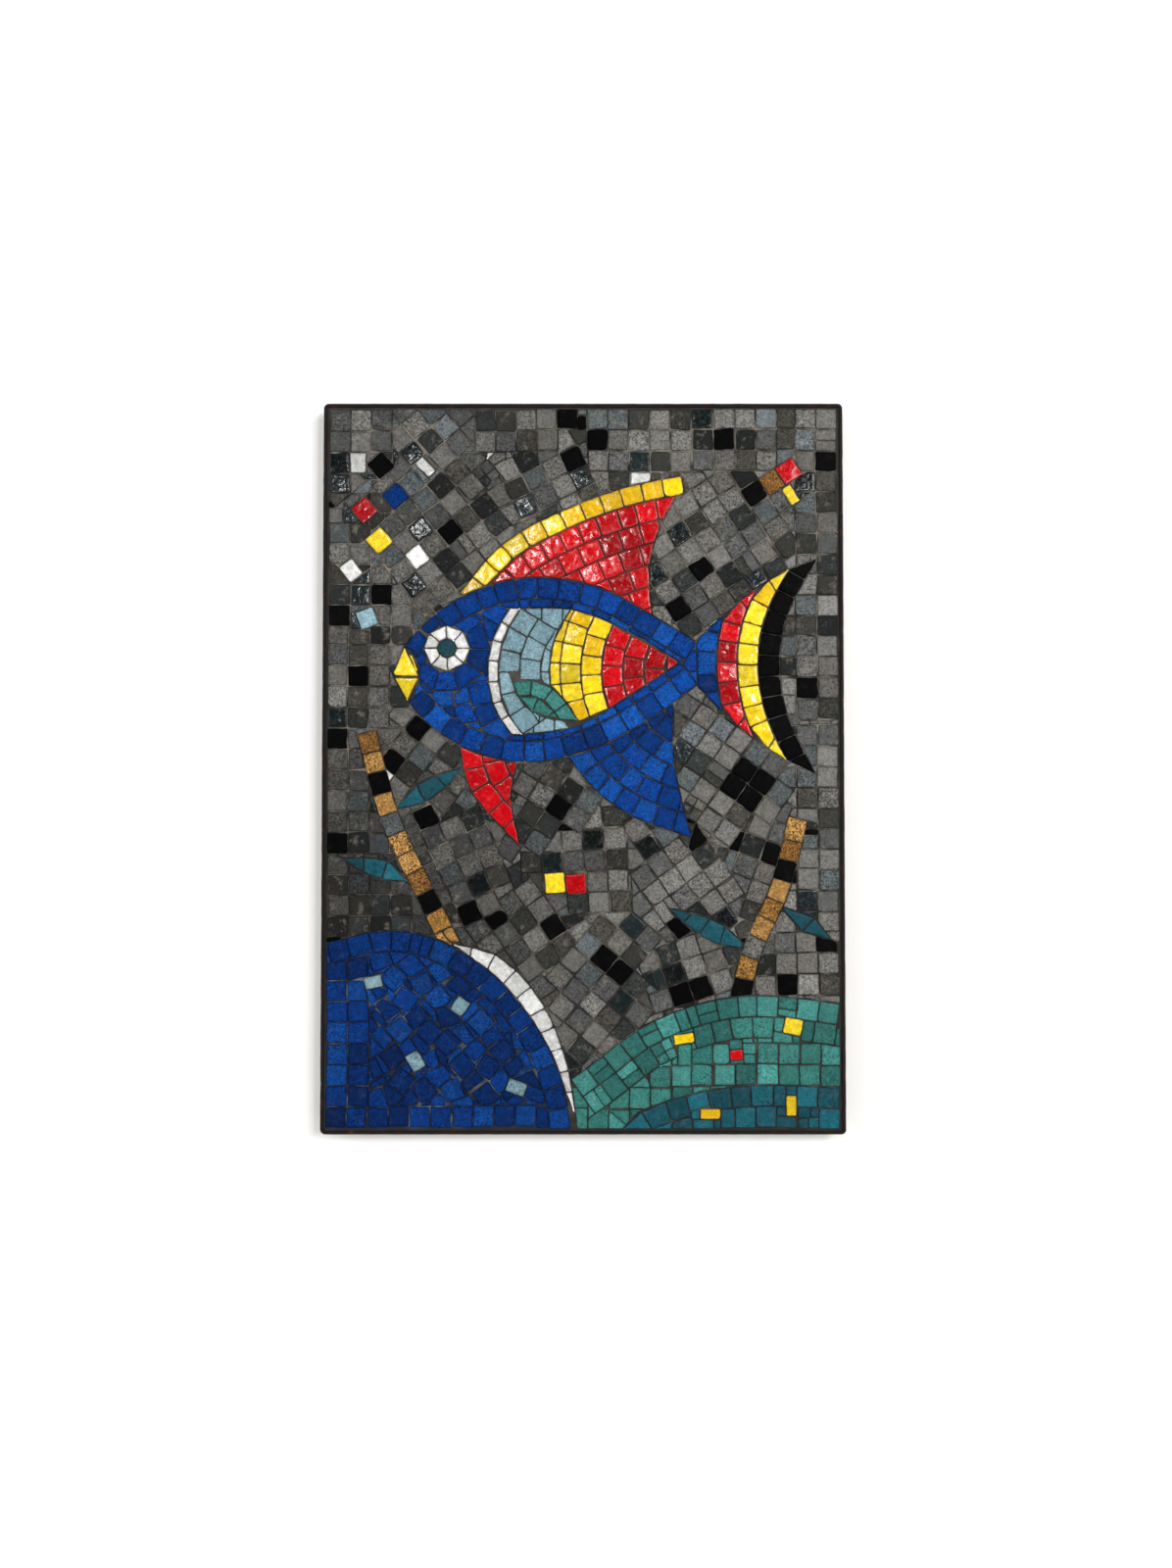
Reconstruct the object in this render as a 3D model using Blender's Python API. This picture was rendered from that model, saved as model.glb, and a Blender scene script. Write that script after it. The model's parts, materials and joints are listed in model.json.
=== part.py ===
"""Wall-hung mosaic panel: a steel band bent round a mortar bed, with the picture laid on the bed.

The frame is the panel's own: +Z up, the picture faces -Y, and the origin is the middle of the back face,
where the panel meets the wall. Outline points are in millimetres from the middle of the panel, as (x, z).

The picture is a fish over a rocky bed with reeds. Each field of tesserae is one solid: its outline less
every piece laid before it, with a mortar joint between them.
"""

import math

import bmesh
import bpy
from mathutils import Vector
from mathutils.geometry import interpolate_bezier

MM = 0.001

# The panel, in millimetres.
PANEL_WIDTH = 520.0
PANEL_HEIGHT = 728.0
PANEL_DEPTH = 22.0
BAND_THICKNESS = 3.0
BAND_CORNER_RADIUS = 5.0
BAND_PROUD = 0.5
TESSERA = 20.0
TESSERA_THICKNESS = 4.0
JOINT = 0.8
RIM_JOINT = 2.5
FIT_GAP = 0.3
CORNER_STEPS = 6
CURVE_STEPS = 5
REACH = 3.0
MOST_MITRE = 2.5

# Depths behind the wall plane, along -Y.
BAND_FRONT = PANEL_DEPTH
TESSERA_FRONT = PANEL_DEPTH - BAND_PROUD
TESSERA_BACK = TESSERA_FRONT - TESSERA_THICKNESS
BED_FRONT = TESSERA_BACK - FIT_GAP

FIELD_HALF_WIDTH = PANEL_WIDTH / 2 - BAND_THICKNESS - RIM_JOINT
FIELD_HALF_HEIGHT = PANEL_HEIGHT / 2 - BAND_THICKNESS - RIM_JOINT

# Colour (linear), roughness and metallic of each finish.
FINISHES = {
    "rusted_steel": ((0.020, 0.014, 0.012, 1), 0.65, 0.9),
    "mortar": ((0.19, 0.17, 0.145, 1), 0.95, 0.0),
    "slate_grey": ((0.105, 0.108, 0.112, 1), 0.55, 0.0),
    "cobalt_blue": ((0.004, 0.040, 0.270, 1), 0.45, 0.0),
    "sea_green": ((0.030, 0.230, 0.215, 1), 0.50, 0.0),
    "deep_teal": ((0.006, 0.105, 0.135, 1), 0.50, 0.0),
    "pale_blue": ((0.270, 0.460, 0.520, 1), 0.50, 0.0),
    "signal_red": ((0.520, 0.004, 0.010, 1), 0.18, 0.0),
    "sun_yellow": ((0.800, 0.520, 0.010, 1), 0.25, 0.0),
    "ochre": ((0.280, 0.145, 0.045, 1), 0.60, 0.0),
    "white": ((0.720, 0.700, 0.680, 1), 0.45, 0.0),
    "black": ((0.004, 0.004, 0.004, 1), 0.20, 0.0),
}

# The fish, nose to the left.
SNOUT = (-190, 92)
BACK_LINE = [SNOUT, (-172, 128), (-128, 166), (-60, 188), (12, 180), (70, 150), (113, 124)]
BELLY_LINE = [(114, 82), (70, 50), (10, 18), (-60, 4), (-125, 22), (-168, 56), SNOUT]
TAIL_TOP = [(112, 124), (150, 160), (196, 192), (232, 206)]
TAIL_END = [(232, 206), (204, 152), (196, 102), (204, 50), (230, -6)]
TAIL_BOTTOM = [(230, -6), (194, 12), (150, 44), (113, 82)]
TAIL_BAND_STEP = TESSERA + JOINT
GILL_LINE = [(-64, 158), (-80, 130), (-86, 96), (-80, 60), (-62, 32)]
GILL_WIDTH = 10.0
FLANK_TOP = [(-64, 158), (-8, 156), (50, 132), (96, 104)]
FLANK_BOTTOM = [(96, 104), (48, 72), (-8, 40), (-62, 32)]
FLANK_BAND = 2.5 * TESSERA + 2.5 * JOINT
EYE_CENTRE = (-136, 118)
EYE_RADIUS = 23.0
PUPIL_RADIUS = 9.5
LIP_CENTRE = (-198, 91)
LIP_RADIUS = 34.0
MOUTH_LINE_HEIGHT = 89.0
MOUTH_GAP = 1.5
SPINE_ROW = [(-116, 168), (-74, 216), (-12, 250), (50, 272), (100, 282)]
SPINE_ROW_WIDTH = 18.0
DORSAL_TOP = [(-116, 160), (-74, 214), (-12, 248), (50, 270), (98, 280)]
DORSAL_REAR = [(98, 280), (76, 238), (66, 194), (70, 140)]
ANAL_FRONT = [(-20, 20), (8, -20), (54, -52), (108, -70)]
ANAL_REAR = [(108, -70), (96, -26), (90, 12), (90, 70)]
PELVIC_FRONT = [(-124, 30), (-112, -24), (-64, -78)]
PELVIC_REAR = [(-64, -78), (-72, -30), (-64, 12)]
PECTORAL_ROOT, PECTORAL_TIP, PECTORAL_BULGE = (-70, 84), (-6, 46), 15.0

# Reeds, with leaves given as root, tip and bulge.
REED_WIDTH = TESSERA - 1.0
LEFT_REED = [(-120, -200), (-156, -128), (-192, -52), (-216, 34)]
RIGHT_REED = [(150, -262), (166, -188), (196, -120), (214, -52)]
LEAVES = {
    "left_reed_low_leaf": ((-166, -112), (-238, -92), 9.8),
    "left_reed_high_leaf": ((-186, -42), (-120, -2), 9.8),
    "right_reed_low_leaf": ((162, -180), (86, -142), 10.0),
    "right_reed_high_leaf": ((198, -140), (246, -172), 9.4),
}

# The bed: three rocks that run out of the picture at its edges.
OUT = 30.0
LEFT, RIGHT = -FIELD_HALF_WIDTH - OUT, FIELD_HALF_WIDTH + OUT
BOTTOM = -FIELD_HALF_HEIGHT - OUT
BLUE_ROCK = [
    (LEFT, -184), (-232, -170), (-190, -163), (-140, -174), (-86, -210), (-44, -262), (-18, -322), (-10, BOTTOM),
]
GREEN_ROCK = [(-40, -330), (8, -296), (60, -258), (122, -234), (186, -228), (RIGHT, -240)]
TEAL_ROCK = [(22, BOTTOM), (52, -346), (104, -326), (170, -316), (RIGHT, -320)]
CREST_OUTER = [(-130, -176), (-82, -190), (-40, -236), (-16, -296), (-8, -345)]
CREST_INNER = [(-8, -345), (-40, -300), (-92, -222), (-130, -176)]

# Single tesserae: middle, turn in degrees, width and height, finish.
SINGLES = {
    "bubble_1": ((-216, 148), 20, (18, 18), "pale_blue"),
    "bubble_2": ((-232, 196), 38, (16, 19), "white"),
    "bubble_3": ((-204, 226), 41, (20, 20), "sun_yellow"),
    "bubble_4": ((-219, 257), 41, (20, 20), "signal_red"),
    "bubble_5": ((-188, 271), 41, (20, 20), "cobalt_blue"),
    "bubble_6": ((-203, 302), 41, (20, 20), "black"),
    "bubble_7": ((-158, 300), 44, (10, 20), "white"),
    "top_red": ((206, 296), 33, (20, 20), "signal_red"),
    "top_ochre": ((189, 285), 33, (19, 20), "ochre"),
    "top_yellow": ((208, 272), 33, (10, 19), "sun_yellow"),
    "middle_yellow": ((-28, -116), 4, (20, 20), "sun_yellow"),
    "middle_red": ((-7, -117), 4, (20, 20), "signal_red"),
    "green_rock_chip_1": ((100, -270), 8, (20, 10), "sun_yellow"),
    "green_rock_chip_2": ((208, -258), -12, (18, 16), "sun_yellow"),
    "green_rock_chip_3": ((152, -286), 4, (13, 10), "signal_red"),
    "teal_rock_chip_1": ((126, -344), 0, (20, 10), "sun_yellow"),
    "teal_rock_chip_2": ((206, -336), 0, (10, 20), "sun_yellow"),
    "blue_rock_chip_1": ((-208, -214), 12, (17, 12), "pale_blue"),
    "blue_rock_chip_2": ((-122, -238), 55, (16, 14), "pale_blue"),
    "blue_rock_chip_3": ((-166, -292), 31, (14, 18), "pale_blue"),
    "blue_rock_chip_4": ((-66, -318), -20, (19, 13), "pale_blue"),
}


def clear_scene():
    for obj in list(bpy.data.objects):
        bpy.data.objects.remove(obj)


def finish_material(name):
    """The material of one finish, made the first time that it is asked for."""
    found = bpy.data.materials.get(name)
    if found:
        return found
    colour, roughness, metallic = FINISHES[name]
    material = bpy.data.materials.new(name)
    material.use_nodes = True
    shader = material.node_tree.nodes["Principled BSDF"]
    shader.inputs["Base Color"].default_value = colour
    shader.inputs["Roughness"].default_value = roughness
    shader.inputs["Metallic"].default_value = metallic
    material.diffuse_color = colour
    return material


# Outlines, as lists of (x, z) in millimetres.


def smooth(points, steps=CURVE_STEPS):
    """A smooth open curve through the points: Bezier stretches whose handles follow the neighbours."""
    knots = [Vector((x, z, 0)) for x, z in points]
    ends = [2 * knots[0] - knots[1], *knots, 2 * knots[-1] - knots[-2]]
    curve = [points[0]]
    for before, start, stop, after in zip(ends, ends[1:], ends[2:], ends[3:]):
        leave, arrive = start + (stop - before) / 6, stop - (after - start) / 6
        stretch = interpolate_bezier(start, leave, arrive, stop, steps + 1)
        curve += [(p.x, p.y) for p in stretch[1:]]
    return curve


def joined(*curves):
    """One closed outline from curves that follow each other, without the points that two of them share."""
    outline = []
    for point in (p for curve in curves for p in curve):
        if not outline or math.dist(point, outline[-1]) > 0.5:
            outline.append(point)
    return outline[:-1] if math.dist(outline[0], outline[-1]) <= 0.5 else outline


def shifted(curve, distance):
    return [(x + distance, z) for x, z in curve]


def circle(centre, radius, steps=20):
    turns = [2 * math.pi * i / steps for i in range(steps)]
    return [(centre[0] + radius * math.cos(a), centre[1] + radius * math.sin(a)) for a in turns]


def rectangle(centre, size, turn=0.0):
    c, s = math.cos(math.radians(turn)), math.sin(math.radians(turn))
    corners = [(sx * size[0] / 2, sz * size[1] / 2) for sx, sz in ((-1, -1), (1, -1), (1, 1), (-1, 1))]
    return [(centre[0] + x * c - z * s, centre[1] + x * s + z * c) for x, z in corners]


def rounded_rectangle(width, height, radius):
    outline = []
    for quarter, (sx, sz) in enumerate(((1, 1), (-1, 1), (-1, -1), (1, -1))):
        centre = (sx * (width / 2 - radius), sz * (height / 2 - radius))
        for i in range(CORNER_STEPS + 1):
            a = math.radians(90) * (quarter + i / CORNER_STEPS)
            outline.append((centre[0] + radius * math.cos(a), centre[1] + radius * math.sin(a)))
    return outline


def blade(root, tip, bulge):
    """A leaf: two arcs from root to tip, each standing off the chord by bulge at its middle."""
    (x0, z0), (x1, z1) = root, tip
    length = math.dist(root, tip)
    nx, nz = (z0 - z1) / length, (x1 - x0) / length
    steps = 2 * CURVE_STEPS
    side = []
    for i in range(steps + 1):
        t = i / steps
        off = bulge * math.sin(math.pi * t ** 0.85)
        side.append((x0 + (x1 - x0) * t, z0 + (z1 - z0) * t, off))
    left = [(x + nx * off, z + nz * off) for x, z, off in side]
    right = [(x - nx * off, z - nz * off) for x, z, off in side]
    return joined(left, right[::-1])


def ribbon(middle, width):
    """A strip of even width along a curve, square at its ends."""
    left, right = [], []
    for i, (x, z) in enumerate(middle):
        x0, z0 = middle[max(i - 1, 0)]
        x1, z1 = middle[min(i + 1, len(middle) - 1)]
        length = math.hypot(x1 - x0, z1 - z0)
        nx, nz = (z0 - z1) / length * width / 2, (x1 - x0) / length * width / 2
        left.append((x + nx, z + nz))
        right.append((x - nx, z - nz))
    return joined(left, right[::-1])


def grown(outline, distance):
    """The outline moved outwards by distance, its corners mitred up to a limit."""
    count = len(outline)
    twice_area = sum(
        outline[i - 1][0] * outline[i][1] - outline[i][0] * outline[i - 1][1] for i in range(count)
    )
    out = 1 if twice_area > 0 else -1
    moved = []
    for i, (x, z) in enumerate(outline):
        (x0, z0), (x1, z1) = outline[i - 1], outline[(i + 1) % count]
        a, b = Vector((z - z0, x0 - x)).normalized(), Vector((z1 - z, x - x1)).normalized()
        corner = (a + b) / max(1 + a.dot(b), 0.05)
        if corner.length > MOST_MITRE:
            corner *= MOST_MITRE / corner.length
        moved.append((x + out * distance * corner.x, z + out * distance * corner.y))
    return moved


# Solids.


def prism(name, outline, back, front):
    """A plate with this outline, from one depth behind the wall plane to another."""
    mesh = bpy.data.meshes.new(name)
    bm = bmesh.new()
    face = bm.faces.new([bm.verts.new((x * MM, -back * MM, z * MM)) for x, z in outline])
    made = bmesh.ops.extrude_face_region(bm, geom=[face])["geom"]
    risen = [v for v in made if isinstance(v, bmesh.types.BMVert)]
    bmesh.ops.translate(bm, verts=risen, vec=(0, (back - front) * MM, 0))
    bmesh.ops.recalc_face_normals(bm, faces=bm.faces)
    bm.to_mesh(mesh)
    bm.free()
    obj = bpy.data.objects.new(name, mesh)
    bpy.context.scene.collection.objects.link(obj)
    return obj


def limited_prism(name, outlines, back, front):
    """A plate of what several outlines have in common."""
    plate = prism(name, outlines[0], back, front)
    if len(outlines) > 1:
        limits = [prism("limit", limit, back - REACH, front + REACH) for limit in outlines[1:]]
        cut(plate, "INTERSECT", limits)
    return plate


def cut(obj, operation, helpers):
    """Applies one Boolean for each helper and removes it, then the points that lie on straight edges."""
    for helper in helpers:
        modifier = obj.modifiers.new(operation.title(), "BOOLEAN")
        modifier.operation = operation
        modifier.solver = "EXACT"
        modifier.object = helper
    graph = bpy.context.evaluated_depsgraph_get()
    mesh = bpy.data.meshes.new_from_object(obj.evaluated_get(graph))
    obj.modifiers.clear()
    bm = bmesh.new()
    bm.from_mesh(mesh)
    bmesh.ops.remove_doubles(bm, verts=bm.verts, dist=0.02 * MM)
    bmesh.ops.dissolve_limit(bm, angle_limit=math.radians(0.2), verts=bm.verts, edges=bm.edges)
    bm.to_mesh(mesh)
    bm.free()
    obj.data = mesh
    for helper in helpers:
        bpy.data.objects.remove(helper)


def box_of(outline):
    xs, zs = zip(*outline)
    return min(xs), max(xs), min(zs), max(zs)


def boxes_meet(a, b):
    return a[0] < b[1] and b[0] < a[1] and a[2] < b[3] and b[2] < a[3]


class Picture:
    """The pieces of the picture in the order in which they are laid: each is cut round those before it."""

    def __init__(self):
        self.laid = []

    def lay(self, name, outline, finish, inside=()):
        """Adds a field of tesserae with this outline, kept inside each of the given outlines."""
        obj = limited_prism(name, [outline, *inside], TESSERA_BACK, TESSERA_FRONT)
        cutters = []
        for earlier in self.laid:
            limits = [grown(limit, JOINT) for limit in earlier]
            if all(boxes_meet(box_of(a), box_of(b)) for a in (outline, *inside) for b in limits):
                cutters.append(limited_prism("cutter", limits, TESSERA_BACK - REACH, TESSERA_FRONT + REACH))
        if cutters:
            cut(obj, "DIFFERENCE", cutters)
        obj.data.materials.clear()
        obj.data.materials.append(finish_material(finish))
        self.laid.append([outline, *inside])


def make_edge_band():
    """Flat steel bar on edge, bent round the four corners and welded into a ring."""
    outer = rounded_rectangle(PANEL_WIDTH, PANEL_HEIGHT, BAND_CORNER_RADIUS)
    inner = rounded_rectangle(
        PANEL_WIDTH - 2 * BAND_THICKNESS,
        PANEL_HEIGHT - 2 * BAND_THICKNESS,
        BAND_CORNER_RADIUS - BAND_THICKNESS,
    )
    band = prism("edge_band", outer, 0, BAND_FRONT)
    cut(band, "DIFFERENCE", [prism("core", inner, -REACH, BAND_FRONT + REACH)])
    band.data.materials.clear()
    band.data.materials.append(finish_material("rusted_steel"))


def make_mortar_bed():
    """The cast slab that fills the band behind the tesserae; its back is the face that meets the wall."""
    side = BAND_THICKNESS + FIT_GAP
    outline = rounded_rectangle(PANEL_WIDTH - 2 * side, PANEL_HEIGHT - 2 * side, BAND_CORNER_RADIUS - side)
    bed = prism("mortar_bed", outline, 0, BED_FRONT)
    bed.data.materials.append(finish_material("mortar"))


def lay_single_tesserae(picture):
    for name, (middle, turn, size, finish) in SINGLES.items():
        picture.lay(name, rectangle(middle, size, turn), finish)


def lay_fish(picture):
    body = joined(smooth(BACK_LINE), smooth(BELLY_LINE))
    tail = joined(smooth(TAIL_TOP), smooth(TAIL_END), smooth(TAIL_BOTTOM))
    gill = smooth(GILL_LINE)
    flank = joined(smooth(FLANK_TOP), smooth(FLANK_BOTTOM), gill[::-1])

    picture.lay("eye_pupil", circle(EYE_CENTRE, PUPIL_RADIUS, 8), "deep_teal")
    picture.lay("eye_white", circle(EYE_CENTRE, EYE_RADIUS), "white")
    lips = circle(LIP_CENTRE, LIP_RADIUS, 28)
    reach = LIP_RADIUS + OUT
    for name, side in (("upper_lip", 1), ("lower_lip", -1)):
        middle = (LIP_CENTRE[0], MOUTH_LINE_HEIGHT + side * (reach / 2 + MOUTH_GAP / 2))
        picture.lay(name, rectangle(middle, (2 * reach, reach)), "sun_yellow", inside=[lips, body])
    picture.lay("gill_row", joined(shifted(gill, 1.0), shifted(gill, 1.0 - GILL_WIDTH)[::-1]), "white")
    pectoral = blade(PECTORAL_ROOT, PECTORAL_TIP, PECTORAL_BULGE)
    picture.lay("pectoral_fin", pectoral, "sea_green", inside=[flank])

    far = 2 * OUT + FLANK_BAND * 3
    for i, (name, finish) in enumerate((("flank_pale", "pale_blue"), ("flank_yellow", "sun_yellow"))):
        start, stop = i * FLANK_BAND, (i + 1) * FLANK_BAND
        strip = tall_strip(gill, start, stop, OUT)
        picture.lay(name, strip, finish, inside=[flank])
    picture.lay("flank_red", tall_strip(gill, 2 * FLANK_BAND, far, OUT), "signal_red", inside=[flank])

    picture.lay("fish_body", body, "cobalt_blue")
    picture.lay("dorsal_spine_row", ribbon(smooth(SPINE_ROW), SPINE_ROW_WIDTH), "sun_yellow")
    dorsal = joined(smooth(DORSAL_TOP), smooth(DORSAL_REAR))
    picture.lay("dorsal_fin", dorsal, "signal_red")
    picture.lay("anal_fin", joined(smooth(ANAL_FRONT), smooth(ANAL_REAR)), "cobalt_blue")
    picture.lay("pelvic_fin", joined(smooth(PELVIC_FRONT), smooth(PELVIC_REAR)), "signal_red")

    end = smooth(TAIL_END)
    bands = (
        ("tail_edge_row", "black"),
        ("tail_yellow_row", "sun_yellow"),
        ("tail_red_row", "signal_red"),
    )
    for i, (name, finish) in enumerate(bands):
        outer = shifted(end, -i * TAIL_BAND_STEP + (OUT if i == 0 else 0))
        inner = shifted(end, -(i + 1) * TAIL_BAND_STEP)
        picture.lay(name, taller(outer, inner, OUT), finish, inside=[tail])
    picture.lay("tail_root", tail, "cobalt_blue")


def tall_strip(line, start, stop, extra):
    """The strip between two copies of a line that runs from top to bottom, drawn out past both its ends."""
    return taller(shifted(line, stop), shifted(line, start), extra)


def taller(right, left, extra):
    """The outline between two lines that run from top to bottom, with both ends moved out by extra."""
    sides = []
    for line in (right, left):
        (top_x, top_z), (low_x, low_z) = line[0], line[-1]
        sides.append([(top_x, top_z + extra), *line, (low_x, low_z - extra)])
    return joined(sides[0], sides[1][::-1])


def lay_reeds(picture, rocks):
    """The reeds stand behind the rocks, so the rocks are laid first."""
    for name, (outline, finish) in rocks.items():
        picture.lay(name, outline, finish, inside=[field_outline()])
    picture.lay("left_reed", ribbon(smooth(LEFT_REED), REED_WIDTH), "ochre")
    picture.lay("right_reed", ribbon(smooth(RIGHT_REED), REED_WIDTH), "ochre")
    for name, (root, tip, bulge) in LEAVES.items():
        picture.lay(name, blade(root, tip, bulge), "deep_teal")


def field_outline():
    return rectangle((0, 0), (2 * FIELD_HALF_WIDTH, 2 * FIELD_HALF_HEIGHT))


def rock_outlines():
    """Each rock's top line, closed far outside the field, where the field's edge cuts it off."""
    blue = joined(smooth(BLUE_ROCK), [(LEFT, BOTTOM)])
    green = joined([(-40, BOTTOM)], smooth(GREEN_ROCK), [(RIGHT, BOTTOM)])
    teal = joined(smooth(TEAL_ROCK), [(RIGHT, BOTTOM)])
    crest = joined(smooth(CREST_OUTER), smooth(CREST_INNER))
    return {
        "blue_rock": (blue, "cobalt_blue"),
        "white_crest": (crest, "white"),
        "teal_rock": (teal, "deep_teal"),
        "green_rock": (green, "sea_green"),
    }


def main():
    clear_scene()
    make_edge_band()
    make_mortar_bed()
    picture = Picture()
    lay_single_tesserae(picture)
    lay_fish(picture)
    lay_reeds(picture, rock_outlines())
    picture.lay("slate_ground", field_outline(), "slate_grey")


main()
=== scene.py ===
"""The looks of the mosaic panel: every tessera cut and laid, the mortar that shows between them, and the
rusted band that holds them.

The tesserae are laid as a mosaicist lays them. Each field of the picture gets its rows along the lines that
matter, then courses to fill it, then chips in the gaps that are left; the ground comes last, cut round the
figures. A tessera is a flat outline until the laying is done, and only then a solid of glass.

The panel is flat, so the laying is worked out in its own plane, in millimetres, with a point as one complex
number: x to the right and z up. Outlines run anticlockwise, so that their inside is on the left.
"""

import cmath
import json
import math
import random

import bmesh
import bpy
import numpy as np
from mathutils import Matrix, Vector, noise


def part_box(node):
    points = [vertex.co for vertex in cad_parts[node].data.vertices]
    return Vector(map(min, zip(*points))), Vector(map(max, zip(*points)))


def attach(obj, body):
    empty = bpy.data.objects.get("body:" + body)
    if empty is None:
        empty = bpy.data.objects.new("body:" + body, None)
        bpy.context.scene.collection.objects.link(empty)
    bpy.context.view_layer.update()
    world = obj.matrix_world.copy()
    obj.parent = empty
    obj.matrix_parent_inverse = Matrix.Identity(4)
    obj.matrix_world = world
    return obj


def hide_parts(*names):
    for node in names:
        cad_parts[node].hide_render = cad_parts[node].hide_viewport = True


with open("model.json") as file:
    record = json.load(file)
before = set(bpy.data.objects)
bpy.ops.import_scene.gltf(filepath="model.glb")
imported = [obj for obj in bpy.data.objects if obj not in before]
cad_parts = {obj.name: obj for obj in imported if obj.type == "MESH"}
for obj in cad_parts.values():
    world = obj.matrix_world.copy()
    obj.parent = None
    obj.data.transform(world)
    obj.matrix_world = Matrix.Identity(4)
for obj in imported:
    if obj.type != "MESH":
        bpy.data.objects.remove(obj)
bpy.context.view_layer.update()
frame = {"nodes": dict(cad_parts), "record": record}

MM = 0.001
GROUND = "slate_ground"
CONSTRUCTION = ("edge_band", "mortar_bed")
SLOT_OF = {part["node"]: part["material_slot"] for part in frame["record"]["subparts"]}
SEED = 20

# What the CAD says, in millimetres from the middle of the panel's back.
LOW, HIGH = (Vector(corner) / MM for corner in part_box("edge_band"))
BAND_INSIDE = Vector(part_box("mortar_bed")[1]) / MM
GLASS_FRONT = -Vector(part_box(GROUND)[0]).y / MM
FIELD = Vector(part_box(GROUND)[1]) / MM
EYE = complex(-136, 118)

# Laying, in millimetres and square millimetres.
TESSERA = 20.0
PITCH = 20.8
JOINT = 0.8
SPLIT_JOINT = 0.5
SMALLEST_CHIP = 14.0
THINNEST_CHIP = 2.6
LARGEST_CHIP = 1.3 * TESSERA
WIDEST_STRIP = 24.0
EYE_RING = 12.6
EYE_LENGTH = 13.5
PECTORAL_ROW = 15.0
MOST_ROWS = 7
# The least share of a whole tessera that is set in a row.
LEAST_OF_ROW = 0.15
SHORTEST_ROW = 3 * TESSERA
# A field of one whole tessera is no larger than this, and has fewer corners than this.
SINGLE_AREA = 1.2 * TESSERA**2
SINGLE_CORNERS = 9
CORNER_ANGLE = 35
# The side of the cells in which the laying notes what is still free, and the step of a guide line.
CELL = 1.0
STEP = 1.0
# How far a joint across a row may be from its place, as a share of a tessera.
UNEVEN = 0.06
# How far the size of a whole tessera is from another's.
CAST_SPREAD = 0.25
# How often a tessera nipped in two is nipped again in four.
SPLIT_AGAIN = 0.4
# The steps of a guide line over which a row's direction is evened out.
SMOOTHED = 9
# How far courses wander from straight, and over what distance.
DRIFT = 3.2
DRIFT_REACH = 110

# The glass solids.
GLASS_DEPTH = 3.2
# The worn arris as steps from the side inwards: how far in, how far up, and how much of the rim is left.
ARRIS = ((0.25, 0.3, 0.6), (0.8, 0.15, 0.2))
CORNER_RADII = (0.8, 2.4)
KNOCKED_RADII = (2.4, 5.0)
KNOCKED_SHARE = 0.1
# How much of a side a corner may take, and how far a side bows out on the whole and from place to place.
CORNER_REACH = 0.3
BULGE = 0.05
BOW = 0.26
# The rim's strength on a ring inside the arris, where the middle is 0.
RIM_OF_RING = 0.1
# How deep or proud a tessera is set, and how far in and out of the common face its own may come.
SETTING = 0.07
LOWEST, HIGHEST = -0.4, 0.45

# The slow change of the ground's tone: darkest about one place and over one reach.
DARKEST = complex(-230, -130)
DARKEST_REACH = 150
DARKEST_SHARE = 0.55

# The mortar: how far its joints are raked out behind the glass, and how much fuller the pale ones are.
MORTAR_CELL = 3.0
RAKED = 1.5
FULLER = 0.8
JOINT_RIPPLE = 0.15
BACK_HOLLOW = 0.5

# The band.
BAND_RADIUS = 5.0
BAND_STEPS = 4
BAND_CELL = 9.0
BAND_BEVEL = 0.5
RUST_PUSH = 0.35
RUST_CELL = 11

# Colours of the mortar. The dark ones, for the raked-out joints, are dirt and painted shade; the others are
# its own.
MORTAR_DIRT_AND_SHADE = "#1d1a16"
MORTAR_SANDY = "#6d675d"
MORTAR_GREY = "#5a5f68"
MORTAR_BLUISH_DIRT_AND_SHADE = "#0c1626"
MORTAR_BACK = "#857e72"
MORTAR_SMEAR = "#837c70"

# Fields laid from a lighter or a darker batch than the rest of their glass.
FIELD_LIGHT = {"fish_body": 1.5, "anal_fin": 1.35, "tail_root": 1.5}


def kind(slot, tones, shares=None, **changes):
    """One kind of glass: what it is like, where it differs from a plain matt one. Sizes are millimetres.

    Its shape has a span between the points of a side, rings in its face, a tilt, a wave and a pillow. Its
    finish has a grain, clouds, pits, grime with painted shade along the arrises and its colour, smears of
    mortar, roughness, gloss, ripple and tooth.
    """
    made = {
        "slot": slot, "tones": tones, "shares": shares or [1] * len(tones), "finish": slot + "_cast_glass",
        "spread": 0.1, "span": 10.0, "rings": [0.6], "tilt": 0.009, "wave": (0.08, 7.0), "pillow": 0.1,
        "grain": 0.62, "grain_mm": 2.2, "cloud": 0.2, "cloud_mm": 6.0, "pits": 1.0, "pit_mm": 2.9,
        "grime": 0.6, "dirt": "#1d1a17", "smear": 0.12, "roughness": (0.6, 0.8), "specular": 0.12,
        "ripple": 0.22, "ripple_mm": 5.0, "twist": 0.4, "tooth": 0.14,
    }
    made.update(changes)
    return made


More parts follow.
